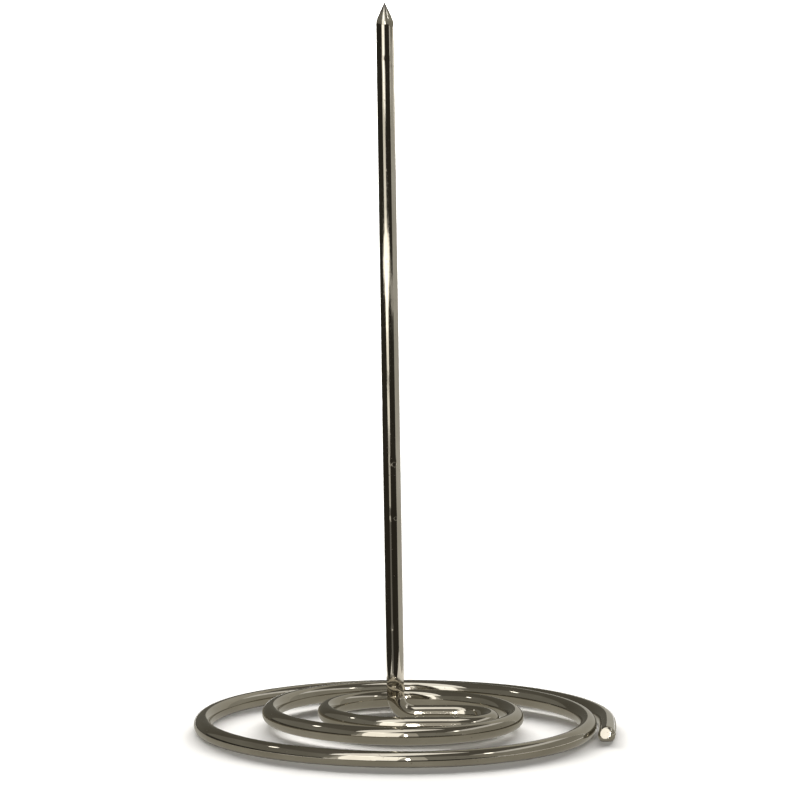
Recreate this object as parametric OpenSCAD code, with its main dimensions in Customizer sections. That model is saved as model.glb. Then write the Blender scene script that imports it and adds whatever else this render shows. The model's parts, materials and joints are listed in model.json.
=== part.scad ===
// Bill spike: one length of plated steel wire, ground to a point at the top, bent at
// the foot and wound into an open spiral that stands on the table.
// The sections of the wire meet face to face where its forming changes.
// Millimetres, +Z up, X to the right and Y to the back as the spike is seen in use.
// The origin is on the table, under the middle of the whole part.

/* [Wire] */
// Diameter of the wire
wire_d = 3.7; // [2.5:0.1:4.5]

/* [Spike] */
// Height of the tip above the table
spike_h = 152.4; // [100:0.1:220]
// Length of the ground point
point_len = 3.8; // [2:0.1:8]
// Diameter of the small blunt end of the point
tip_d = 0.3; // [0.1:0.05:0.8]
// Lean of the spike off plumb, to the left, in degrees
lean = 0.9; // [0:0.1:3]

/* [Foot] */
// Radius of the bend at the foot, at the middle of the wire
bend_r = 4; // [2.5:0.1:8]
// Distance from the spike to the middle of the spiral, to the right
spiral_offset = 2.2; // [0:0.1:5]

/* [Spiral] */
// Radius of the first tight half turn, at the middle of the wire
curl_r = 7.2; // [6:0.1:10]
// Least gap between the tight half turn and the turn round it, on the right
curl_gap = 0.8; // [0.5:0.1:2]
// Clear gap behind the foot, up to the inner turn
foot_gap = 15.5; // [8:0.1:20]
// Clear gap in front, from the inner to the middle turn
inner_front_gap = 8.5; // [3:0.1:12]
// Clear gap at the back, from the inner to the middle turn
inner_back_gap = 7.5; // [3:0.1:14]
// Clear gap in front, from the middle turn to the outer ring
outer_front_gap = 15.5; // [5:0.1:20]
// Clear gap at the back, from the middle turn to the outer ring
outer_back_gap = 5.5; // [3:0.1:10]

/* [Tail] */
// Clear gap on the right, between the rising turn and the tail
tail_gap = 0.5; // [0.45:0.05:2]
// Straight length of the tail
tail_run = 14; // [5:0.5:20]

/* [Stance] */
// Depth of the flat that the outer ring and the tail stand on
rest_cut = 0.5; // [0.3:0.05:0.8]
// Climb of the half turn that leaves the table and carries the inner turns clear of it
lift = 1.4; // [0.9:0.1:2.5]

/* [Hidden] */
$fn = 64;
plated_steel = "#a9a79f";
bright_cut = "#c9c7c0";

// Radii and places are kept to a thousandth of a millimetre, so that neighbouring sections
// of the wire share one round face
function snap(v) = round(v * 1000) / 1000;

// Radii of the half turns from the foot outwards. The spiral grows by half a wire and half
// a gap at each half turn, so neighbouring turns lie one wire and one gap apart there.
inner_left_r = snap(curl_r + (wire_d + foot_gap) / 2);
inner_right_r = snap(inner_left_r + (wire_d + inner_front_gap) / 2);
middle_left_r = snap(inner_right_r + (wire_d + inner_back_gap) / 2);
outer_right_r = snap(middle_left_r + (wire_d + outer_front_gap) / 2);
outer_left_r = snap(outer_right_r + (wire_d + outer_back_gap) / 2);
tail_r = snap(outer_right_r + wire_d + tail_gap);

// Half turns as [name, radius, side, drop towards the table], from the foot outwards
HALVES = [
    ["curl", curl_r, "right", 0],
    ["inner left", inner_left_r, "left", 0],
    ["inner right", inner_right_r, "right", 0],
    ["middle left", middle_left_r, "left", 0],
    ["outer right", outer_right_r, "right", lift],
    ["outer left", outer_left_r, "left", 0],
];
function place(name) = search([name], HALVES)[0];
function radius(i) = HALVES[i][1];
function side(i) = HALVES[i][2] == "right" ? 1 : -1;
function drop(i) = HALVES[i][3];

// A half turn that drops lies in a plane that slopes from back to front
function slope(i) = side(i) * asin(drop(i) / (2 * radius(i)));
function depth(i) = snap(2 * radius(i) * cos(slope(i)));

// Middle of the wire at the start of half turn i, in front or at the back of the spiral,
// with y counted from the spike and z from the table
table_z = snap(wire_d / 2 - rest_cut);
foot_z = snap(table_z + lift);
function start_y(i) = i == 0 ? 0 : start_y(i - 1) - side(i - 1) * depth(i - 1);
function start_z(i) = i == 0 ? foot_z : start_z(i - 1) - drop(i - 1);
front_y = start_y(place("outer left"));
back_y = start_y(len(HALVES));

// The whole part's box in plan gives the shift that puts the origin under its middle
spiral_left = spiral_offset - outer_left_r - wire_d / 2;
spiral_right = spiral_offset + tail_r + wire_d / 2;
spiral_front = front_y - wire_d / 2;
spiral_back = back_y + wire_d / 2;
spike_x = -snap((spiral_left + spiral_right) / 2);
spike_y = -snap((spiral_front + spiral_back) / 2);
spiral_x = snap(spike_x + spiral_offset);

// The tight half turn stands off to the right, inside the turn round it: from the middle
// of that turn to its own middle is what the two radii, the wire and the gap leave
curl_reach = inner_right_r - curl_r - wire_d - curl_gap;
curl_aside = (foot_gap - inner_front_gap) / 2;
curl_x = snap(spiral_x + sqrt(curl_reach * curl_reach - curl_aside * curl_aside));
function middle_x(i) = i == place("curl") ? curl_x : spiral_x;
inner_front_y = start_y(place("inner left"));

// Foot bend: its middle is straight above the start of the run along the base
bend_angle = 90 - lean;
run_x = snap(spike_x + bend_r * sin(bend_angle));
shaft_z = foot_z + bend_r - bend_r * cos(bend_angle);
shaft_len = (spike_h - shaft_z) / cos(lean) - point_len;

// Points along the middle of the wire, for measuring how near the wire comes to itself
STEPS = 90;
function half_points(i) = [
    for (k = [0 : STEPS])
        let (a = 180 * k / STEPS)
            [
                middle_x(i) + side(i) * radius(i) * sin(a),
                spike_y + start_y(i) - side(i) * depth(i) * (1 - cos(a)) / 2,
                start_z(i) - drop(i) * (1 - cos(a)) / 2
            ]
];
tail_y = spike_y + back_y - tail_r;
tail_points = [
    for (k = [0 : STEPS])
        let (a = 90 * k / STEPS)
            [spiral_x + tail_r * sin(a), tail_y + tail_r * cos(a), table_z],
    for (k = [0 : STEPS])
        [spiral_x + tail_r, tail_y - tail_run * k / STEPS, table_z]
];
function run_points(y, z, from_x, to_x) = [
    for (k = [0 : STEPS]) [from_x + (to_x - from_x) * k / STEPS, spike_y + y, z]
];
foot_run_points = run_points(0, foot_z, run_x, curl_x);
front_run_points = run_points(inner_front_y, foot_z, curl_x, spiral_x);
WALK = [
    concat(foot_run_points, half_points(place("curl"))),
    concat(front_run_points, half_points(place("inner left"))),
    half_points(place("inner right")),
    half_points(place("middle left")),
    half_points(place("outer right")),
    half_points(place("outer left")),
    tail_points
];

// Least gap between two lists of points on the wire
function list_gap(a, b) = min([for (p = a) min([for (q = b) norm(p - q)])]) - wire_d;
turn_gap = min([for (i = [0 : len(WALK) - 3]) list_gap(WALK[i], WALK[i + 2])]);
echo(least_gap_between_turns = turn_gap);

// Wire swept through part of a circle that lies flat round the origin
module wire_arc(radius, angle) {
    rotate_extrude(angle = angle)
        translate([radius, 0])
            circle(d = wire_d);
}

// Straight wire along +X
module wire_run(length) {
    rotate([90, 0, 90])
        linear_extrude(length)
            circle(d = wire_d);
}

// Half turn of the spiral with that name, in its place
module half_turn(name) {
    i = place(name);
    translate([middle_x(i), spike_y + start_y(i), start_z(i)])
        rotate([slope(i), 0, 0])
            translate([0, -side(i) * radius(i), 0])
                rotate([0, 0, -side(i) * 90])
                    wire_arc(radius(i), 180);
}

// What lies under the table's surface is cut away, which leaves the flat to stand on
module stand_on_table() {
    difference() {
        children();
        translate([-2 * tail_r, -2 * tail_r, -wire_d])
            cube([4 * tail_r, 4 * tail_r, wire_d]);
    }
}

// Frame of the leaning spike: +Z runs up its middle from the end of the bend
module along_spike() {
    translate([spike_x, spike_y, shaft_z])
        rotate([0, -lean, 0])
            children();
}

// Ground conical point with a small blunt end
module spike_point() {
    color(bright_cut)
        along_spike()
            translate([0, 0, shaft_len])
                cylinder(d1 = wire_d, d2 = tip_d, h = point_len);
}

// Straight upright wire that the papers slide down
module spike_shaft() {
    color(plated_steel)
        along_spike()
            cylinder(d = wire_d, h = shaft_len);
}

// Tight bend from the upright to the run along the base
module foot_bend() {
    color(plated_steel)
        translate([run_x, spike_y, foot_z + bend_r])
            rotate([90, 0, 0])
                rotate([0, 0, 180 + lean])
                    wire_arc(bend_r, bend_angle);
}

// First turn: the run from the foot, the tight half turn, the run back in front of the
// foot and the half turn on the left
module inner_turn() {
    color(plated_steel) {
        translate([run_x, spike_y, foot_z])
            wire_run(curl_x - run_x);
        half_turn("curl");
        translate([curl_x, spike_y + inner_front_y, foot_z])
            rotate([0, 0, 180])
                wire_run(curl_x - spiral_x);
        half_turn("inner left");
    }
}

// Second turn of the spiral
module middle_turn() {
    color(plated_steel) {
        half_turn("inner right");
        half_turn("middle left");
    }
}

// Wide half turn on the right that comes down on to the table
module rising_turn() {
    color(plated_steel)
        stand_on_table()
            half_turn("outer right");
}

// Three quarters of a turn that lie on the table and carry the part
module outer_ring() {
    color(plated_steel)
        stand_on_table() {
            half_turn("outer left");
            translate([spiral_x, tail_y, table_z])
                wire_arc(tail_r, 90);
        }
}

// Straight free end, rounded over
module tail() {
    color(plated_steel)
        stand_on_table() {
            translate([spiral_x + tail_r, tail_y, table_z])
                rotate([0, 0, -90])
                    wire_run(tail_run);
            translate([spiral_x + tail_r, tail_y - tail_run, table_z])
                sphere(d = wire_d);
        }
}

spike_point();
spike_shaft();
foot_bend();
inner_turn();
middle_turn();
rising_turn();
outer_ring();
tail();
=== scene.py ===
# %% [markdown]
# # A bill spike, bent from one wire
#
# The object is a single length of bright plated steel wire. It stands up straight, comes to a ground
# point at the top, turns through a tight bend at its foot and is wound into an open spiral that lies
# on the desk. Papers are pushed down over the point and stay on the spike.
#
# The frame that is loaded first holds the solid model. It gives the sizes and the names of the pieces,
# and everything below is laid over it in the same place, in metres.

# %% Load the frame
import json
import math

import bpy
import numpy as np
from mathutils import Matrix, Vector


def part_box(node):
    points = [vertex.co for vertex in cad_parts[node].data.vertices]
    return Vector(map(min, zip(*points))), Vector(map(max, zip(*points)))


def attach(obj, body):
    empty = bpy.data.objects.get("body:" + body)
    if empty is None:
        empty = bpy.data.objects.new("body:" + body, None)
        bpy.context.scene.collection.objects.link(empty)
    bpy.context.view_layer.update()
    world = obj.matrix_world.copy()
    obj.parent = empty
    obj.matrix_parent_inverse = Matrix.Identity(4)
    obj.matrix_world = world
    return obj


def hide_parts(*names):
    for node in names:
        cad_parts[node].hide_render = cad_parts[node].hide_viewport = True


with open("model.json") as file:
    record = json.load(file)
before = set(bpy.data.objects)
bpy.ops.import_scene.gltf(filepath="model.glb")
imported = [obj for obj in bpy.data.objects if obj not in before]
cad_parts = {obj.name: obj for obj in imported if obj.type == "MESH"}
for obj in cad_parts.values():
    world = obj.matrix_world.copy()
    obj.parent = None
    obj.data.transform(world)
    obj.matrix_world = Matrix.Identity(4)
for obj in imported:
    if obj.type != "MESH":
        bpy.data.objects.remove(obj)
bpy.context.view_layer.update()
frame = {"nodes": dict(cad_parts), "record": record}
MM = 0.001
print("nodes in the frame:", ", ".join(sorted(frame["nodes"])))

# %% [markdown]
# ## The camera
#
# The camera stands about 1.1 m in front, a little above the height of the point, and looks down by
# about seven degrees. A long lens keeps the upright from tapering. Its place was worked out from the
# ellipses of the spiral: how open they look gives the height, and how much larger the front of the
# outer ring is than the back gives the distance. The focal length is counted in pixels first, because
# that is how it was measured, and then turned into millimetres on the sensor.

# %% Camera
SENSOR_MM = 36.0
PICTURE_PX = 800
FOCAL_PX = 5372.7
CAMERA_PLACE_MM = (-1.06, -1114.0, 201.7)
LOOK_DOWN_DEG = 6.756

camera = bpy.data.cameras.new("camera")
camera.sensor_width = SENSOR_MM
camera.lens = SENSOR_MM * FOCAL_PX / PICTURE_PX
camera.clip_start = 0.01
camera_object = bpy.data.objects.new("camera", camera)
camera_object.location = [value * MM for value in CAMERA_PLACE_MM]
camera_object.rotation_euler = (math.radians(90 - LOOK_DOWN_DEG), 0.0, 0.0)
bpy.context.scene.collection.objects.link(camera_object)
bpy.context.scene.camera = camera_object
print("camera lens %.1f mm, looking down by %.1f degrees" % (camera.lens, LOOK_DOWN_DEG))

# %% [markdown]
# ## Sizes of the wire
#
# A bent wire is fully described by its diameter and by the line along its middle. The sizes here are
# the ones that the solid model is driven by, in millimetres. Each half turn of the spiral is a little
# larger than the one before it, which leaves the gaps between the turns. A half turn is given by its
# radius and its side: 1 on the right, -1 on the left.

# %% Sizes
WIRE_R = 1.85
SPIKE_H = 152.4
POINT_LEN = 3.8
TIP_R = 0.15
LEAN = math.radians(0.9)
BEND_R = 4.0
SPIKE_X, SPIKE_Y = -2.0, 3.087
SPIRAL_X = 0.2
CURL_X = 10.839
TABLE_Z = 1.35
LIFT = 1.4
FOOT_Z = TABLE_Z + LIFT
TAIL_R = 42.3
TAIL_RUN = 14.0
HALF_TURNS = {
    "curl": (7.2, 1),
    "inner left": (16.8, -1),
    "inner right": (22.9, 1),
    "middle left": (28.5, -1),
    "outer right": (38.1, 1),
    "outer left": (42.7, -1),
}
outer_low, outer_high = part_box("outer_ring")
outer_width = (outer_high.x - outer_low.x) / MM
print("wire radius %.2f mm, outer ring %.1f mm wide" % (WIRE_R, outer_width))

# %% [markdown]
# ## The line along the middle of the wire
#
# One could draw this as a Bezier curve with a round bevel, but then the points along it can't be told
# apart piece by piece. Here the line is made as arrays of points, one stretch after another from the
# point of the spike to the free end: straight runs and parts of circles. All the turns go the same way
# round, clockwise as seen from above.


# %% Straight runs and arcs
def straight(start, end, step):
    """Points on a straight line: start + t (end - start), with t going from 0 to 1."""
    start, end = np.array(start, float), np.array(end, float)
    count = max(2, int(np.linalg.norm(end - start) / step) + 1)
    return start + np.linspace(0.0, 1.0, count)[:, None] * (end - start)


def flat_arc(centre, radius, angle_from, angle_to, step):
    """Points on a level circle: x = cx + r cos a, y = cy + r sin a, with a given in degrees."""
    count = max(8, int(abs(math.radians(angle_to - angle_from)) * radius / step) + 1)
    angle = np.radians(np.linspace(angle_from, angle_to, count))
    x = centre[0] + radius * np.cos(angle)
    y = centre[1] + radius * np.sin(angle)
    return np.stack([x, y, np.full(count, float(centre[2]))], axis=1)


def half_turn(name, start_y, z, step):
    """Half a circle on the right or left of the spiral, from start_y at the back or in front."""
    radius, side = HALF_TURNS[name]
    centre_x = CURL_X if name == "curl" else SPIRAL_X
    centre = (centre_x, start_y - side * radius, z)
    return flat_arc(centre, radius, side * 90, side * 90 - 180, step)


# %% [markdown]
# The upright leans to the left by not quite a degree. On its point the rings of points crowd towards
# the tip, where the shape is smallest. The bend is a quarter of a circle, less the lean.

# %% The upright and its bend
POINT_RINGS, POINT_CROWDING = 49, 1.7
SHAFT_STEP = 0.3
BEND_RINGS = 40

along_spike = np.array([-math.sin(LEAN), 0.0, math.cos(LEAN)])
shaft_z = FOOT_Z + BEND_R - BEND_R * math.sin(LEAN)
shaft_foot = np.array([SPIKE_X, SPIKE_Y, shaft_z])
spike_len = (SPIKE_H - shaft_z) / math.cos(LEAN)
tip = shaft_foot + spike_len * along_spike
shoulder = tip - POINT_LEN * along_spike

point_share = np.linspace(0.0, 1.0, POINT_RINGS) ** POINT_CROWDING
point_line = tip + point_share[:, None] * (shoulder - tip)
shaft_line = straight(shoulder, shaft_foot, SHAFT_STEP)

bend_x = SPIKE_X + BEND_R * math.cos(LEAN)
bend_angle = np.linspace(math.pi + LEAN, 1.5 * math.pi, BEND_RINGS)
bend_line = np.stack([
    bend_x + BEND_R * np.cos(bend_angle),
    np.full(BEND_RINGS, SPIKE_Y),
    FOOT_Z + BEND_R + BEND_R * np.sin(bend_angle),
], axis=1)
print("shaft from z %.1f to %.1f mm" % (shaft_foot[2], shoulder[2]))

# %% [markdown]
# The wide half turn on the right does one more thing: it climbs from the table to the level of the
# inner turns. It lies in a plane that slopes from front to back, so its height follows its place from
# front to back, and its depth is a hair less than its diameter.

# %% The spiral
STEP, CURL_STEP = 0.5, 0.35
CAP_RINGS = 17

foot_run = straight((bend_x, SPIKE_Y, FOOT_Z), (CURL_X, SPIKE_Y, FOOT_Z), STEP)
curl = half_turn("curl", SPIKE_Y, FOOT_Z, CURL_STEP)
front_run = straight(curl[-1], (SPIRAL_X, curl[-1][1], FOOT_Z), STEP)
inner_left = half_turn("inner left", front_run[-1][1], FOOT_Z, STEP)
inner_right = half_turn("inner right", inner_left[-1][1], FOOT_Z, STEP)
middle_left = half_turn("middle left", inner_right[-1][1], FOOT_Z, STEP)

outer_right = half_turn("outer right", middle_left[-1][1], FOOT_Z, STEP)
slope = math.asin(LIFT / (2 * HALF_TURNS["outer right"][0]))
from_back = outer_right[0][1] - outer_right[:, 1]
outer_right[:, 1] = outer_right[0][1] - from_back * math.cos(slope)
outer_right[:, 2] = FOOT_Z - from_back * math.sin(slope)

outer_left = half_turn("outer left", outer_right[-1][1], TABLE_Z, STEP)
tail_centre = (SPIRAL_X, outer_left[-1][1] - TAIL_R, TABLE_Z)
tail_arc = flat_arc(tail_centre, TAIL_R, 90, 0, STEP)
tail_run = straight(tail_arc[-1], tail_arc[-1] - [0, TAIL_RUN, 0], STEP)
cap_share = np.sin(np.linspace(0.0, math.pi / 2, CAP_RINGS))
tail_cap = tail_run[-1] - cap_share[:, None] * np.array([0, WIRE_R, 0])
print("spiral reaches y %.1f to %.1f mm" % (outer_left[:, 1].min(), outer_left[:, 1].max()))

# %% [markdown]
# ## One line, eight stretches
#
# The stretches are put end to end. A stretch's first point is the last one of the stretch before, so it
# is left out there, and the pieces cut from the line later share a ring of points and meet without a
# step. The length along the wire is counted from the point of the spike.

# %% The whole line
STRETCHES = {
    "spike_point": [point_line],
    "spike_shaft": [shaft_line],
    "foot_bend": [bend_line],
    "inner_turn": [foot_run, curl, front_run, inner_left],
    "middle_turn": [inner_right, middle_left],
    "rising_turn": [outer_right],
    "outer_ring": [outer_left, tail_arc],
    "tail": [tail_run, tail_cap],
}
line = [tip[None, :]]
first_point, last_point = {}, {}
at = 0
for piece_name, stretches in STRETCHES.items():
    first_point[piece_name] = at
    for stretch in stretches:
        line.append(stretch[1:])
        at += len(stretch) - 1
    last_point[piece_name] = at
line = np.concatenate(line)
steps = np.linalg.norm(np.diff(line, axis=0), axis=1)
length = np.concatenate([[0.0], np.cumsum(steps)])
print("the wire is %.0f mm long, on %d points" % (length[-1], len(line)))

# %% [markdown]
# ## Which way is round the wire
#
# To carry a round profile along the line, each point needs two directions across the wire. In the
# spiral, one lies level and the other points up. On the upright and its bend, one points to the viewer
# all the way, and at the start of the spiral the two rules agree, so the profile doesn't twist.

# %% Directions across the wire
tangent = np.gradient(line, axis=0)
tangent /= np.linalg.norm(tangent, axis=1, keepdims=True)
level = np.cross(tangent, [0.0, 0.0, 1.0])
on_upright = np.arange(len(line)) <= last_point["foot_bend"]
level[on_upright] = [0.0, -1.0, 0.0]
level /= np.linalg.norm(level, axis=1, keepdims=True)
upward = np.cross(level, tangent)
twist = np.arccos(np.clip((level[1:] * level[:-1]).sum(1), -1, 1))
print("largest twist between neighbours: %.2f degrees" % math.degrees(twist.max()))

# %% [markdown]
# ## A wire that was bent by a machine, not drawn by a computer
#
# Real wire is never quite true. It comes off a reel and is straightened between rollers, so it wanders
# by a few hundredths of a millimetre, and in bright plate that shows at once, because the reflections
# waver. So a few slow waves along the length are added to the line, and fewer on the upright, which is
# straighter, and none at its tip. Each wave has a height, a pitch and a shift.

# %% Waver
WAVER = [(0.03, 5.3, 0.7), (0.03, 8.9, 2.1), (0.008, 2.9, 0.0)]
SWAY = [(0.03, 9.3, 1.3), (0.012, 4.1, 0.0)]
UPRIGHT_FADE, TIP_FADE = 20.0, 12.0
UPRIGHT_TRUER = 0.85


def slow_waves(waves):
    """The sum of h sin(s / p + c) over the waves, where s is the length along the wire."""
    return sum(height * np.sin(length / pitch + shift) for height, pitch, shift in waves)


waver, sway = slow_waves(WAVER), slow_waves(SWAY)
upright_share = np.clip((length[last_point["spike_shaft"]] - length) / UPRIGHT_FADE, 0.0, 1.0)
near_tip = np.clip(length / TIP_FADE, 0.0, 1.0)
kept = near_tip * (1.0 - UPRIGHT_TRUER * upright_share)
line = line + (waver * kept)[:, None] * level + (sway * upright_share * kept)[:, None] * upward
print("waver up to %.2f mm" % np.abs(waver).max())

# %% [markdown]
# Three more small faults come from the bending. The tight half turn on the right sits a tenth of a
# millimetre further back than it should, so that the runs on both sides of it are bowed by a hair. The
# free end is turned in a little. And in the tight bend at the foot the wire is flattened by a few
# hundredths of its thickness.

# %% Faults of the bending
BOW, BOW_EASE, BOW_STOP = 0.12, 10.0, 0.8
TAIL_IN = 0.6


def ease(share):
    """A smooth step: the square of sin(pi t / 2), for a share t that is held between 0 and 1."""
    return np.sin(math.pi / 2 * np.clip(share, 0.0, 1.0)) ** 2


run_end = first_point["inner_turn"] + len(foot_run) + len(curl) + len(front_run) - 3
past_foot = (length - length[last_point["foot_bend"]]) / BOW_EASE
before_end = (length[run_end] - BOW_STOP - length) / BOW_EASE
line[:, 1] += BOW * ease(past_foot) * ease(before_end)

tail_share = np.maximum(0.0, (length - length[first_point["tail"]]) / TAIL_RUN)
line[:, 0] -= TAIL_IN * tail_share ** 2

bend_ends = [first_point["foot_bend"], last_point["foot_bend"]]
bend_share = np.interp(np.arange(len(line)), bend_ends, [0.0, 1.0])
flattened = np.sin(math.pi * bend_share) ** 2
print("bowed by %.2f mm, free end turned in by %.2f mm" % (BOW, TAIL_IN * tail_share.max() ** 2))

# %% [markdown]
# ## Radius along the wire
#
# The radius is the same nearly everywhere. At the top it follows the ground cone, with a tip that is
# blunt by a tenth or two and a shoulder that the plating has softened. At the free end it follows a
# quarter circle, because the cut end is tumbled round before plating.

# %% Radius
BLUNT_LEN, BLUNT_ROUND = 0.09, 0.4
SHOULDER_SOFT, SHOULDER_END = 0.1, 1.0

cone = TIP_R + (WIRE_R - TIP_R) * length / POINT_LEN
blunt = np.where(length < BLUNT_LEN, np.sqrt(BLUNT_ROUND * length), WIRE_R)
either = np.exp(-cone / SHOULDER_SOFT) + np.exp(-WIRE_R / SHOULDER_SOFT)
ground = -SHOULDER_SOFT * np.log(either)
radius = np.minimum(np.minimum(ground, blunt), WIRE_R)
radius = np.where(length > POINT_LEN + SHOULDER_END, WIRE_R, radius)
past_end = np.maximum(0.0, length - length[last_point["tail"]] + WIRE_R)
radius = np.minimum(radius, np.sqrt(np.maximum(0.0, WIRE_R ** 2 - past_end ** 2)))
print("radius from %.2f to %.2f mm" % (radius.min(), radius.max()))

# %% [markdown]
# ## Knocks
#
# A spike that has stood on a desk for years has been knocked. Each knock is a shallow dimple, given by
# its distance from the tip in millimetres, its angle round the wire in degrees, its length in
# millimetres, its width in radians and its depth as a share of the radius. Modelled dimples are better
# here than a painted relief, because the edge of the wire shows them too.

# %% Knocks on the shaft
KNOCKS = [
    (12.3, 12, 1.2, 0.5, 0.015),
    (95.8, 20, 0.8, 0.4, 0.045),
    (107.2, 22, 0.9, 0.45, 0.04),
    (131.0, -14, 0.6, 0.3, 0.03),
    (61.0, 150, 0.9, 0.5, 0.04),
    (83.5, 255, 0.7, 0.4, 0.04),
]


def dents(along, angle):
    """Shares of the radius taken off: for each knock, d exp(-((s - s0) / l)^2 - ((a - a0) / w)^2)."""
    share = np.zeros((len(along), len(angle)))
    for at_length, at_angle, long_mm, wide, deep in KNOCKS:
        turn = (angle - math.radians(at_angle) + math.pi) % (2 * math.pi) - math.pi
        share += deep * np.exp(-((along[:, None] - at_length) / long_mm) ** 2 - (turn / wide) ** 2)
    return share


print("knocks on the shaft:", len(KNOCKS))

# %% [markdown]
# ## The cut end
#
# The free end of the wire was cut off at a slant and then tumbled, so its round end has a flat face
# that looks forward, a little up and to the left, and mirrors the window. The rounded end that the
# sweep gives is pressed on to a slanting plane, with a soft edge.

# %% Flat face on the free end
CUT_LEFT, CUT_UP = math.radians(8.0), math.radians(19.0)
CUT_FROM_MIDDLE, CUT_SOFT = 1.4, 0.06


def cut_end(vertices):
    """Presses what lies past a plane on to it: a distance d becomes -s ln(1 + exp(-d / s))."""
    forward, up = math.cos(CUT_UP), math.sin(CUT_UP)
    facing = np.array([-forward * math.sin(CUT_LEFT), -forward * math.cos(CUT_LEFT), up])
    end_middle = line[last_point["tail"] - len(tail_cap) + 1]
    past = (vertices - end_middle) @ facing - CUT_FROM_MIDDLE
    pressed = -CUT_SOFT * np.logaddexp(0.0, -past / CUT_SOFT)
    return vertices + (pressed - past)[..., None] * facing


print("the face looks up by %.0f degrees" % math.degrees(CUT_UP))

# %% [markdown]
# ## Carrying the profile along the line
#
# Each vertex is a point of the line plus the radius times the cosine of an angle in the level direction
# and the sine of it in the upward one. What falls under the table is set on the table, which leaves the
# narrow flat that the ring stands on. Two maps are kept with the mesh: a UV map of length and angle,
# and the place of each vertex on the same wire before it was bent. The second has no seam, so the marks
# that the drawing die leaves run along the wire round every turn.

# %% Sweep
AROUND = 56
BEND_WIDER, BEND_FLATTER = 0.015, 0.04


def sweep(name):
    """Vertices of a piece's tube, p + r (cos a level + sin a upward), and their unbent places."""
    rows = slice(first_point[name], last_point[name] + 1)
    angle = np.linspace(0.0, 2 * math.pi, AROUND, endpoint=False) + math.pi / AROUND
    across = radius[rows, None] * (1 + BEND_WIDER * flattened[rows, None]) * np.cos(angle)
    above = radius[rows, None] * (1 - BEND_FLATTER * flattened[rows, None]) * np.sin(angle)
    dent = dents(length[rows], angle) if name == "spike_shaft" else 0.0
    across, above = across * (1 - dent), above * (1 - dent)
    vertices = (line[rows, None, :] + across[..., None] * level[rows, None, :]
                + above[..., None] * upward[rows, None, :])
    if name == "tail":
        vertices = cut_end(vertices)
    vertices[..., 2] = np.maximum(vertices[..., 2], 0.0)
    along = np.broadcast_to(length[rows, None], across.shape)
    return vertices, np.stack([along, across, above], axis=-1)


print("%d points round the wire, %.2f mm apart" % (AROUND, 2 * math.pi * WIRE_R / AROUND))

# %% [markdown]
# ## From arrays to a mesh
#
# The quads join each ring to the next. Each end is closed by a fan to a point in its middle, so every
# piece is a closed skin, and the ends of neighbouring pieces lie face to face inside the wire. The UV
# map wraps round at the seam, so a quad that spans it gets 1 instead of 0 on its far side.

# %% Tube mesh
SHARP_DEG = 28
UV_LENGTH_MM = 100.0


def wire_uv(mesh, along_mm, turn, quad_corners):
    """Lays out the mesh: u is the length along the wire, v the share of a turn round it."""
    corner = np.zeros(len(mesh.loops), dtype=np.int32)
    mesh.loops.foreach_get("vertex_index", corner)
    u, v = along_mm[corner] / UV_LENGTH_MM, turn[corner]
    quad_v = v[:quad_corners].reshape(-1, 4)
    quad_v[quad_v.max(axis=1) - quad_v.min(axis=1) > 0.5, 2:] = 1.0
    layer = mesh.uv_layers.new(name="wire_uv")
    layer.data.foreach_set("uv", np.stack([u, v], axis=1).astype(np.float32).ravel())


def tube_mesh(name, vertices, unbent):
    """A closed tube: quads between rings, a fan at each end, smooth except at its sharp edges."""
    rings, around = vertices.shape[:2]
    index = np.arange(rings * around).reshape(rings, around)
    following = np.roll(index, -1, axis=1)
    quads = np.stack([index[:-1], index[1:], following[1:], following[:-1]], axis=-1).reshape(-1, 4)
    start, end = rings * around, rings * around + 1
    start_fan = np.stack([np.full(around, start), index[0], following[0]], axis=1)
    end_fan = np.stack([np.full(around, end), following[-1], index[-1]], axis=1)
    ends = np.stack([vertices[0].mean(axis=0), vertices[-1].mean(axis=0)])
    end_places = np.stack([unbent[0].mean(axis=0), unbent[-1].mean(axis=0)])

    mesh = bpy.data.meshes.new(name)
    mesh.from_pydata(np.concatenate([vertices.reshape(-1, 3), ends]) * MM, [],
                     quads.tolist() + start_fan.tolist() + end_fan.tolist())
    places = np.concatenate([unbent.reshape(-1, 3), end_places])
    attribute = mesh.attributes.new("unbent", "FLOAT_VECTOR", "POINT")
    attribute.data.foreach_set("vector", (places * MM).astype(np.float32).ravel())
    turn = np.append(np.tile(np.arange(around) / around, rings), [0.5, 0.5])
    wire_uv(mesh, places[:, 0], turn, quads.size)

    mesh.polygons.foreach_set("use_smooth", np.ones(len(mesh.polygons), dtype=bool))
    mesh.set_sharp_from_angle(angle=math.radians(SHARP_DEG))
    mesh.validate()
    mesh.update()
    return mesh


# %% [markdown]
# ## Small helpers for node trees
#
# A finish is a tree of nodes. One can click it together, but in a script a few helpers keep it short:
# one adds a node with its values, and the others each add one step, such as a noise or a blend of two
# colours, and give back the socket that carries its result.

# %% Helpers for node trees
def add_node(tree, kind, inputs=None, **properties):
    """A node of that kind, with its properties set and then the values of its inputs."""
    node = tree.nodes.new(kind)
    for key, value in properties.items():
        setattr(node, key, value)
    for key, value in (inputs or {}).items():
        node.inputs[key].default_value = value
    return node


def empty_material(name):
    """A material with nothing in its tree but the output, whose surface socket is given too."""
    material = bpy.data.materials.new(name)
    material.use_nodes = True
    tree = material.node_tree
    tree.nodes.clear()
    return material, tree, add_node(tree, "ShaderNodeOutputMaterial").inputs["Surface"]


def unbent_place(tree, scale):
    """The place on the unbent wire, scaled by three factors: along it, and twice across it."""
    place = add_node(tree, "ShaderNodeAttribute", attribute_name="unbent")
    stretch = add_node(tree, "ShaderNodeMapping", {"Scale": scale})
    tree.links.new(place.outputs["Vector"], stretch.inputs["Vector"])
    return stretch.outputs["Vector"]


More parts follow.
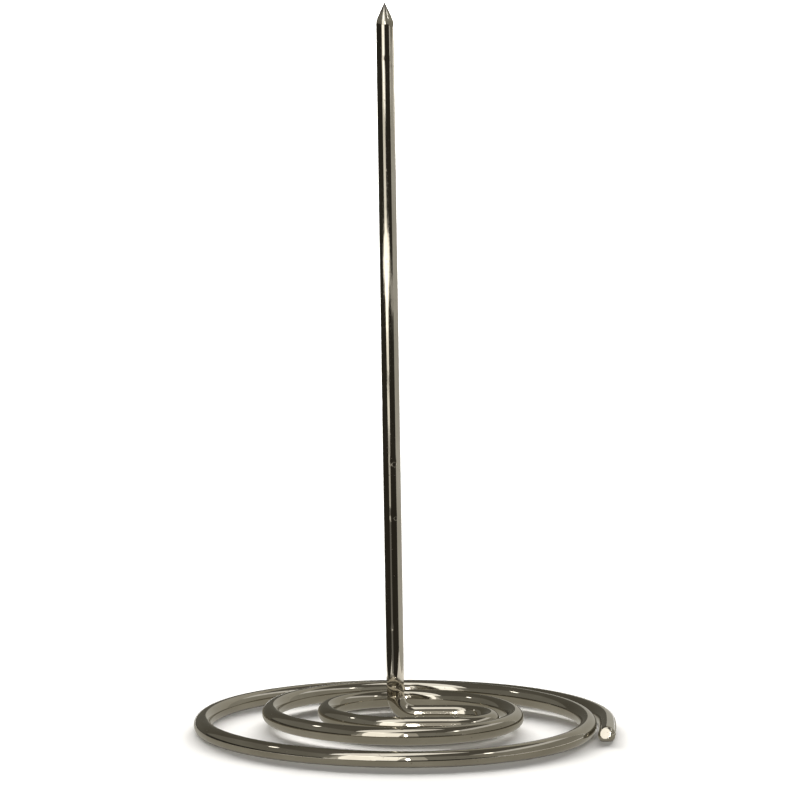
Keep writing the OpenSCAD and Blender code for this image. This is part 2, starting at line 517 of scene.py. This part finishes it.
def noise(tree, vector, detail=3.0):
    """Value of a noise texture at that vector."""
    node = add_node(tree, "ShaderNodeTexNoise", {"Scale": 1.0, "Detail": detail})
    tree.links.new(vector, node.inputs["Vector"])
    return node.outputs["Fac"]


def spread(tree, value, low, high, from_low=0.35, from_high=0.65):
    """The value, taken from one range to another and held there."""
    node = add_node(tree, "ShaderNodeMapRange", {
        "From Min": from_low, "From Max": from_high, "To Min": low, "To Max": high})
    tree.links.new(value, node.inputs["Value"])
    return node.outputs["Result"]


def blend_colours(tree, share, first, second):
    """The first colour at a share of 0, the second at 1. A colour is a link or a value."""
    node = add_node(tree, "ShaderNodeMix", data_type="RGBA")
    tree.links.new(share, node.inputs["Factor"])
    # A mix node has sockets called A, B and Result for each type of data; these are the colour ones
    for socket, colour in ((node.inputs[6], first), (node.inputs[7], second)):
        if isinstance(colour, tuple):
            socket.default_value = (*colour, 1.0)
        else:
            tree.links.new(colour, socket)
    return node.outputs[2]


def add_share(tree, share, amount, base):
    """The base plus the share times the amount."""
    node = add_node(tree, "ShaderNodeMath", {1: amount}, operation="MULTIPLY_ADD")
    tree.links.new(share, node.inputs[0])
    tree.links.new(base, node.inputs[2])
    return node.outputs["Value"]


def relief(tree, height, depth_mm, normal=None):
    """A bump that goes that deep, over the normal that is passed on."""
    node = add_node(tree, "ShaderNodeBump", {"Strength": 1.0, "Distance": depth_mm * MM})
    tree.links.new(height, node.inputs["Height"])
    if normal is not None:
        tree.links.new(normal, node.inputs["Normal"])
    return node.outputs["Normal"]


def new_metal(name):
    """A material with a metal shader in its tree."""
    material, tree, surface = empty_material(name)
    shader = add_node(tree, "ShaderNodeBsdfPrincipled", {"Metallic": 1.0})
    tree.links.new(shader.outputs["BSDF"], surface)
    return material, tree, shader


# %% [markdown]
# ## The finish: bright plate on drawn wire
#
# The wire shows a bright plate with a warm cast, thin enough that the fine lines of the drawing die
# still show through it. The finish is a metal whose colour and roughness drift slowly, with two small
# reliefs, the die lines along the wire and a soft waviness of the plate, and with scattered dull pits.
# The die lines come from noise that is stretched along the unbent wire. Under the ring, where it rubs
# the desk, the plate is scuffed.

# %% Plated wire
PLATE_DEEP, PLATE_PALE = (0.39, 0.36, 0.298), (0.465, 0.435, 0.368)
PIT_COLOUR, SCUFF_COLOUR = (0.18, 0.155, 0.12), (0.36, 0.345, 0.315)
PLATE_ROUGH = (0.035, 0.06)
PIT_ROUGHER, SCUFF_ROUGHER = 0.3, 0.25
PIT_FROM, PIT_FULL = 0.70, 0.76
SCUFF_FULL_Z, SCUFF_TOP_Z = 0.05 * MM, 0.6 * MM
DIE_LINE_DEEP, WAVE_DEEP = 0.0015, 0.005


def plated_wire():
    """Warm bright plate: slow drifts, die lines, waviness, pits and a scuffed underside."""
    material, tree, shader = new_metal("plated_wire")
    die_lines = noise(tree, unbent_place(tree, (12.0, 2600.0, 2600.0)), detail=4.0)
    slow = noise(tree, unbent_place(tree, (90.0, 260.0, 260.0)))
    wavy = noise(tree, unbent_place(tree, (260.0, 520.0, 520.0)), detail=2.0)
    speck = noise(tree, unbent_place(tree, (1900.0, 1900.0, 1900.0)), detail=2.0)
    pits = spread(tree, speck, 0.0, 1.0, PIT_FROM, PIT_FULL)

    where = add_node(tree, "ShaderNodeTexCoord")
    height = add_node(tree, "ShaderNodeSeparateXYZ")
    tree.links.new(where.outputs["Object"], height.inputs["Vector"])
    scuffed = spread(tree, height.outputs["Z"], 1.0, 0.0, SCUFF_FULL_Z, SCUFF_TOP_Z)

    plate = blend_colours(tree, spread(tree, slow, 0.0, 1.0), PLATE_DEEP, PLATE_PALE)
    pitted = blend_colours(tree, pits, plate, PIT_COLOUR)
    worn = blend_colours(tree, scuffed, pitted, SCUFF_COLOUR)
    tree.links.new(worn, shader.inputs["Base Color"])

    plate_rough = spread(tree, slow, *PLATE_ROUGH)
    pitted_rough = add_share(tree, pits, PIT_ROUGHER, plate_rough)
    worn_rough = add_share(tree, scuffed, SCUFF_ROUGHER, pitted_rough)
    tree.links.new(worn_rough, shader.inputs["Roughness"])

    lined = relief(tree, die_lines, DIE_LINE_DEEP)
    waved = relief(tree, wavy, WAVE_DEEP, lined)
    tree.links.new(waved, shader.inputs["Normal"])
    return material


# %% [markdown]
# ## The finish of the point
#
# The cone is ground on a wheel before it is plated. The wheel leaves fine rings round the cone, so here
# the noise is stretched the other way, across the wire, and the surface is a little duller. Towards the
# very tip the colour is painted dark, a painted shade.

# %% Ground point
GROUND_DEEP, GROUND_PALE = (0.4, 0.375, 0.315), (0.52, 0.495, 0.43)
# Painted shade at the tip: its dark colour, how far from the tip it is full, and where it ends
TIP_SHADE_COLOUR = (0.12, 0.112, 0.1)
TIP_SHADE_FULL_TO, TIP_SHADE_END = 0.6 * MM, 2.4 * MM
GROUND_ROUGH = (0.12, 0.22)
RING_DEEP = 0.004


def ground_point():
    """Plated cone with the rings of the grinding wheel, and a painted shade that darkens its tip."""
    material, tree, shader = new_metal("ground_point")
    rings = noise(tree, unbent_place(tree, (9000.0, 120.0, 120.0)), detail=4.0)
    slow = noise(tree, unbent_place(tree, (500.0, 500.0, 500.0)))
    shade = blend_colours(tree, spread(tree, rings, 0.0, 1.0), GROUND_DEEP, GROUND_PALE)

    # Painted shade: the colour turns dark over the last few millimetres to the tip
    along = add_node(tree, "ShaderNodeSeparateXYZ")
    tree.links.new(unbent_place(tree, (1.0, 1.0, 1.0)), along.inputs["Vector"])
    tip_shade = spread(tree, along.outputs["X"], 1.0, 0.0, TIP_SHADE_FULL_TO, TIP_SHADE_END)
    tree.links.new(blend_colours(tree, tip_shade, shade, TIP_SHADE_COLOUR), shader.inputs["Base Color"])
    tree.links.new(spread(tree, slow, *GROUND_ROUGH), shader.inputs["Roughness"])
    tree.links.new(relief(tree, rings, RING_DEEP), shader.inputs["Normal"])
    return material


FINISHES = {"plated_wire": plated_wire(), "ground_point": ground_point()}
print("finishes:", ", ".join(FINISHES))

# %% [markdown]
# ## The pieces
#
# Each stretch of the line becomes one piece, under the name of the section of the solid model that it
# stands for, and gets the finish that the record names for it.

# %% Make the pieces
slot_of = {part["node"]: part["material_slot"] for part in frame["record"]["subparts"]}
for piece_name in STRETCHES:
    vertices, unbent = sweep(piece_name)
    mesh = tube_mesh(piece_name, vertices, unbent)
    mesh.materials.append(FINISHES[slot_of[piece_name]])
    piece = bpy.data.objects.new("wire_" + piece_name, mesh)
    bpy.context.scene.collection.objects.link(piece)
    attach(piece, "root")
    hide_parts(piece_name)
    low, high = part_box(piece_name)
    points = vertices.reshape(-1, 3) * MM
    off = max(np.abs(points.min(0) - low).max(), np.abs(points.max(0) - high).max()) / MM
    print("%-12s %6d faces, box within %.2f mm of the solid" % (piece_name, len(mesh.polygons), off))

# %% [markdown]
# ## Floor
#
# Under the spike lies a matt white sheet, which takes the soft shadow of the wire. Shadows fade slowly,
# and their faint ends would leave a white floor grey, so the sheet glows a little to the camera and in
# mirrors. The glow starts under the spiral's outer turns, grows outwards and gives no light.

# %% The white sheet
FLOOR_HALF = 6.0
SHEET_COLOUR = (0.885, 0.868, 0.835)
GLOW_CENTRE = (0.0, -0.01, 0.0)
GLOW_FROM, GLOW_FULL = 0.041, 0.076
FAR_GLOW = 0.3


def flat_sheet(name, corners):
    """One flat face through the corners, given in order, as a part of the set."""
    mesh = bpy.data.meshes.new(name)
    mesh.from_pydata(np.array(corners, float), [], [list(range(len(corners)))])
    sheet = bpy.data.objects.new(name, mesh)
    bpy.context.scene.collection.objects.link(sheet)
    return sheet


def combine(tree, operation, first, second):
    """The two sockets put together by an operation, such as the larger one or the product."""
    node = add_node(tree, "ShaderNodeMath", operation=operation)
    tree.links.new(first, node.inputs[0])
    tree.links.new(second, node.inputs[1])
    return node.outputs["Value"]


def seen_directly_or_mirrored(tree):
    """1 for rays of the camera and for rays that a mirror or a glass sends on, 0 for the rest."""
    rays = add_node(tree, "ShaderNodeLightPath")
    total = rays.outputs["Is Camera Ray"]
    for ray in ("Is Glossy Ray", "Is Transmission Ray"):
        total = combine(tree, "MAXIMUM", total, rays.outputs[ray])
    return total


def distance_from(tree, place):
    """How far a point of the set is from a place, in metres."""
    where = add_node(tree, "ShaderNodeTexCoord")
    away = add_node(tree, "ShaderNodeVectorMath", {1: place}, operation="DISTANCE")
    tree.links.new(where.outputs["Object"], away.inputs[0])
    return away.outputs["Value"]


def white_sheet():
    """Matt white, with a little glow outside the spiral."""
    material, tree, surface = empty_material("white_sheet")
    matt = add_node(tree, "ShaderNodeBsdfDiffuse", {"Color": (*SHEET_COLOUR, 1.0)})
    away = distance_from(tree, GLOW_CENTRE)
    growing = spread(tree, away, 0.0, FAR_GLOW, GLOW_FROM, GLOW_FULL)
    glow = add_node(tree, "ShaderNodeEmission")
    shown = combine(tree, "MULTIPLY", growing, seen_directly_or_mirrored(tree))
    tree.links.new(shown, glow.inputs["Strength"])
    both = add_node(tree, "ShaderNodeAddShader")
    tree.links.new(matt.outputs["BSDF"], both.inputs[0])
    tree.links.new(glow.outputs["Emission"], both.inputs[1])
    tree.links.new(both.outputs["Shader"], surface)
    return material


F = FLOOR_HALF
floor = flat_sheet("floor", [(-F, -F, 0), (F, -F, 0), (F, F, 0), (-F, F, 0)])
floor.data.materials.append(white_sheet())
print("floor laid, %.0f m wide" % (2 * F))


# %% [markdown]
# ## The room in the metal
#
# Bright metal has hardly any colour of its own: it shows what stands round it. A picture of a real room
# could be wrapped round the scene for that, but plain sheets can be placed one by one until each line
# on the wire is where it should be. The set is a dark board that begins close in front and on the left,
# a grey one on the right, and a dim room with a lighter wall in front. So the flanks of the upright
# turn dark and its right rim takes the grey. What the turns mirror of the floor close by is a grey
# desk.
#
# The sheets are seen only in the metal, so they are kept from the camera, and they throw no shadow and
# give no light.

# %% Sheets that only the metal sees
def reflected_sheet(name, tone, corners):
    """A sheet in a plain tone that shows in the metal and nowhere else."""
    material, tree, surface = empty_material(name)
    paint = add_node(tree, "ShaderNodeEmission", {"Color": (*tone, 1.0)})
    tree.links.new(paint.outputs["Emission"], surface)
    sheet = flat_sheet(name, corners)
    sheet.data.materials.append(material)
    sheet.visible_camera = False
    sheet.visible_diffuse = False
    sheet.visible_shadow = False
    sheet.visible_transmission = False


def wall(name, tone, start, end, bottom, top):
    """An upright sheet over the line from start to end, between two heights."""
    reflected_sheet(name, tone, [(*start, bottom), (*end, bottom), (*end, top), (*start, top)])


def lying_sheet(name, tone, outline, height):
    """A level sheet with that outline, at that height."""
    reflected_sheet(name, tone, [(x, y, height) for x, y in outline])


# %% The room
# Half the width of the room and its height; on the right it opens into a larger one
W, H = 1.3, 1.7
FAR_X, FAR_H = 4.0, 3.4
SKIRTING, SKIRTING_END = 0.2, 1.9
BACK_CORNER = 0.06
BEFORE_WALL = 0.02 - W
DIM, DARK = (0.38, 0.368, 0.325), (0.042, 0.038, 0.031)

wall("front_wall", (0.32, 0.313, 0.283), (W, -W), (-W, -W), SKIRTING, H)
wall("lit_wall", (0.72, 0.70, 0.65), (0.28, BEFORE_WALL), (-1.1, BEFORE_WALL), SKIRTING, 1.5)
wall("left_wall", (0.25, 0.244, 0.218), (-W, -W), (-W, W), SKIRTING, H)
wall("back_wall", (0.135, 0.128, 0.106), (-W, W), (BACK_CORNER, W), 0.0, H)
wall("far_wall", (0.5, 0.485, 0.43), (BACK_CORNER, W), (W, W), 0.0, H)
wall("right_wall", DIM, (FAR_X, -W), (FAR_X, FAR_X), 0.0, FAR_H)
reflected_sheet("front_wall_right", DIM, [
    (W, -W, SKIRTING), (FAR_X, -W, 0.0), (FAR_X, -W, FAR_H), (W, -W, H)])
lying_sheet("ceiling", (0.155, 0.147, 0.128), [(-W, -W), (-W, W), (W, W), (W, -W)], H)
wall("front_skirting", DARK, (SKIRTING_END, -W), (-W, -W), 0.0, SKIRTING)
wall("left_skirting", DARK, (-W, -W), (-W, W), 0.0, SKIRTING)
print("room %.1f m wide and %.1f m high" % (2 * W, H))

# %% The desk and the boards
GREY, DESK_GREY = (0.68, 0.67, 0.64), (0.42, 0.405, 0.355)
BOARD_Z = 0.0005
DESK_R, DESK_CORNERS = 0.062, 48
NEAR_LEFT, NEAR_RIGHT = (-0.056, -0.056), (0.086, -0.056)

desk_angle = np.linspace(0.0, 2 * math.pi, DESK_CORNERS, endpoint=False)
desk_edge = [(DESK_R * math.cos(a), DESK_R * math.sin(a)) for a in desk_angle]
lying_sheet("desk", DESK_GREY, desk_edge, BOARD_Z / 2)
lying_sheet("dark_board", DARK, [
    (-W, -W), (SKIRTING_END, -W), NEAR_RIGHT, NEAR_LEFT, (NEAR_LEFT[0], W), (-W, W)], BOARD_Z)
lying_sheet("grey_board", GREY, [
    (SKIRTING_END, -W), (FAR_X, -W), (FAR_X, W), (0.0, W), (0.0, 0.06), (0.06, 0.06), NEAR_RIGHT],
    BOARD_Z)
print("boards begin %.0f mm in front of the middle" % (-NEAR_LEFT[1] / MM))

# %% [markdown]
# ## The bright line on the upright
#
# An upright wire that is seen from a little above mirrors only what lies low round it. The sight line
# goes on downwards after the mirror: from the foot it meets the board close by, from the middle half a
# metre away, and from the top it reaches the foot of the walls. So a bright strip on the board and up
# the foot of the wall becomes the bright line along the upright, brighter and dimmer in places as the
# strip is, and a wide patch of light a metre away becomes the highlight two thirds of the way up. The
# upright leans a little, which would set that highlight aslant, so the patch is drawn with a skew that
# cancels it.
#
# Places on the board are given by their distance from the spike in metres and by an angle in degrees,
# counted from straight ahead to the right.

# %% Strip and patches of light
BRIGHT = np.array([1.9, 1.86, 1.77])
LEAN_SKEW = 0.38
# Distance, left and right angle, and brightness from there to the next
STRIP = [
    (0.06, -42, -20, 0.13), (0.31, -42, -22, 0.5), (0.43, -43, -20, 0.32),
    (0.495, -45, -17, 0.9), (0.57, -45, -18, 0.38), (0.63, -45, -17, 1.0),
    (0.8, -46, -15, 1.0), (0.95, -47, -14, 0.75), (1.3, -46, -16, 0.75),
]
STRIP_END = [(1.3, -46), (1.3, -16), (1.345, -16), (1.86, -46)]
HIGHLIGHT = [
    (1.23, -31), (1.18, -12), (1.15, 6), (1.09, 16), (1.02, 9), (0.92, -8), (0.85, -15),
    (0.85, -45), (0.97, -50), (1.06, -60), (1.11, -78), (1.15, -78), (1.18, -55),
]
GLINT = [(1.13, 14), (1.13, 70), (0.93, 70), (0.93, 14)]
HIGHLIGHT_BRIGHT, GLINT_BRIGHT = 1.6, 0.35
ON_WALL_TONE, ON_WALL_ANGLES, ON_WALL_TOP = (1.33, 1.3, 1.24), (44, 16), 0.16


def light_patch(name, brightness, outline, height):
    """A bright sheet on the board: x = d sin a and y = -d cos a for each distance and angle."""
    away, angle = np.array(outline, float).T
    angle = np.radians(angle)
    place = np.stack([away * np.sin(angle), -away * np.cos(angle)], axis=1)
    lying_sheet(name, brightness * BRIGHT, place, height)


def skewed(outline):
    """The outline with k sin(a / 2) added to each distance, against the slant that the lean gives."""
    return [(away + LEAN_SKEW * math.sin(math.radians(angle / 2)), angle) for away, angle in outline]


for k, (near, far) in enumerate(zip(STRIP, STRIP[1:])):
    outline = [near[:2], (near[0], near[2]), (far[0], far[2]), far[:2]]
    light_patch("strip_%d" % k, near[3], outline, 2 * BOARD_Z)
light_patch("strip_end", STRIP[-1][3], STRIP_END, 2 * BOARD_Z)
light_patch("highlight", HIGHLIGHT_BRIGHT, skewed(HIGHLIGHT), 3 * BOARD_Z)
light_patch("glint", GLINT_BRIGHT, skewed(GLINT), 3 * BOARD_Z)

left_end, right_end = ((-W * math.tan(math.radians(angle)), BEFORE_WALL) for angle in ON_WALL_ANGLES)
wall("strip_on_wall", ON_WALL_TONE, left_end, right_end, 0.0, ON_WALL_TOP)
print("the strip has %d parts" % (len(STRIP) + 1))


# %% [markdown]
# ## Light
#
# To the camera and in mirrors the space all round is white. The light that the floor receives is soft
# and low, and comes mostly from behind, with a little from in front. So shadows lie close in front of
# the turns, the gaps at the sides of the spiral stay light, and the tall upright throws no shadow that
# could be seen. Metal needs lamps of another kind: a window and a long skylight on the viewer's left
# lie along the turns as bright strokes, and two small lamps and a narrow one near the camera leave
# sparks.

# %% World
SOFT_LIGHT, WHITE = (0.053, 0.05, 0.043), (1.0, 1.0, 1.0)


def set_world():
    """White to the camera and in mirrors, and a faint soft light for the rest."""
    world = bpy.data.worlds.new("studio")
    bpy.context.scene.world = world
    world.use_nodes = True
    tree = world.node_tree
    tree.nodes.clear()
    output = add_node(tree, "ShaderNodeOutputWorld")
    background = add_node(tree, "ShaderNodeBackground")
    shown = blend_colours(tree, seen_directly_or_mirrored(tree), SOFT_LIGHT, WHITE)
    tree.links.new(shown, background.inputs["Color"])
    tree.links.new(background.outputs["Background"], output.inputs["Surface"])


set_world()
print("world:", bpy.context.scene.world.name)

# %% Lamps
ROUND_BELOW = 0.2
CENTRE = (0.0, 0.0, 0.0)


def soft_lamp(name, place, target, size, brightness, lights):
    """A flat lamp for the metal or the floor, round if it is small; power = brightness * area * pi."""
    light = bpy.data.lights.new(name, "AREA")
    light.shape = "ELLIPSE" if max(size) < ROUND_BELOW else "RECTANGLE"
    light.size, light.size_y = size
    light.energy = brightness * size[0] * size[1] * math.pi
    lamp = bpy.data.objects.new(name, light)
    lamp.location = place
    lamp.rotation_euler = (Vector(target) - Vector(place)).to_track_quat("-Z", "Y").to_euler()
    lamp.visible_camera = False
    lamp.visible_glossy = lights == "metal"
    lamp.visible_diffuse = lights == "floor"
    bpy.context.scene.collection.objects.link(lamp)


soft_lamp("window", (-0.35, -0.93, 0.58), (0.0, 0.0, 0.3), (0.6, 1.1), 1.55, "metal")
soft_lamp("skylight", (-0.15, -0.2, 1.1), CENTRE, (0.45, 1.3), 1.55, "metal")
soft_lamp("left_lamp", (-0.78, 0.21, 0.9), CENTRE, (0.1, 0.1), 6.0, "metal")
soft_lamp("right_lamp", (0.74, -0.39, 0.86), CENTRE, (0.1, 0.1), 6.0, "metal")
soft_lamp("flash", (0.004, -1.05, 0.41), CENTRE, (0.035, 0.42), 40.0, "metal")
soft_lamp("low_behind", (0.0, 6.0, 1.95), CENTRE, (5.0, 1.3), 68.0, "floor")
soft_lamp("low_in_front", (0.0, -6.0, 1.5), CENTRE, (10.0, 1.3), 10.0, "floor")
print("lamps:", ", ".join(sorted(light.name for light in bpy.data.lights)))

# %% Colour is shown as it is
bpy.context.scene.view_settings.view_transform = "Standard"
